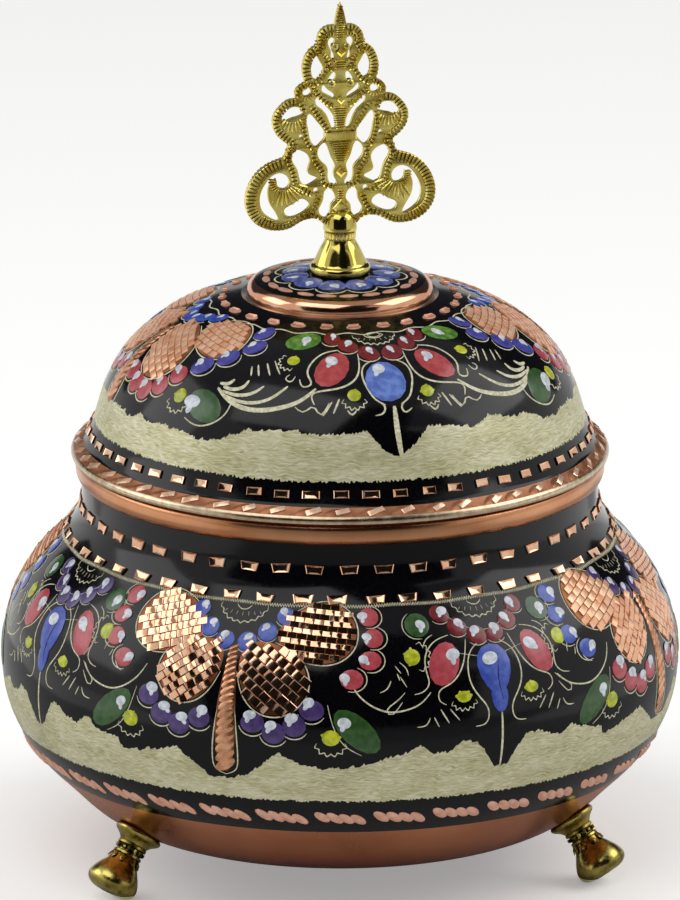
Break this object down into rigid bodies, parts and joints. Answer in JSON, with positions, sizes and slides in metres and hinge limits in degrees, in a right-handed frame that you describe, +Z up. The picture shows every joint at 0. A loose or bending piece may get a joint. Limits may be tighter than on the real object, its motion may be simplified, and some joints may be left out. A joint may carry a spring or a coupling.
{
  "type": "sugar bowl",
  "caption": "Footed copper sugar bowl with a domed lift-off lid, black lacquer painted with flowers over engraved copper, brass feet and a pierced brass finial.",
  "frame": {"origin": "on the bowl's axis, on the table that the feet stand on", "axes": "+Z up along the bowl's axis; the front is towards -Y and one foot stands at the back on +Y"},
  "size_m": [0.12, 0.12, 0.1552],
  "materials": {
    "copper": "satin",
    "tinned_copper": "satin",
    "brass": "polished",
    "plated_steel": "satin"
  },
  "bodies": {
    "bowl": {"bowl_shell": "copper", "back_foot": "brass", "front_left_foot": "brass", "front_right_foot": "brass", "back_foot_screw": "brass", "front_left_foot_screw": "brass", "front_right_foot_screw": "brass"},
    "lid": {"lid_shell": "copper", "lid_ring": "tinned_copper", "finial_socket": "brass", "finial_plate": "brass", "finial_stud": "brass", "finial_washer": "plated_steel", "finial_nut": "plated_steel"}
  },
  "joints": [
    {"name": "lid_lift", "type": "slide", "parent": "bowl", "child": "lid", "axis": [0, 0, 1], "range_m": [0, 0.08]}
  ]
}
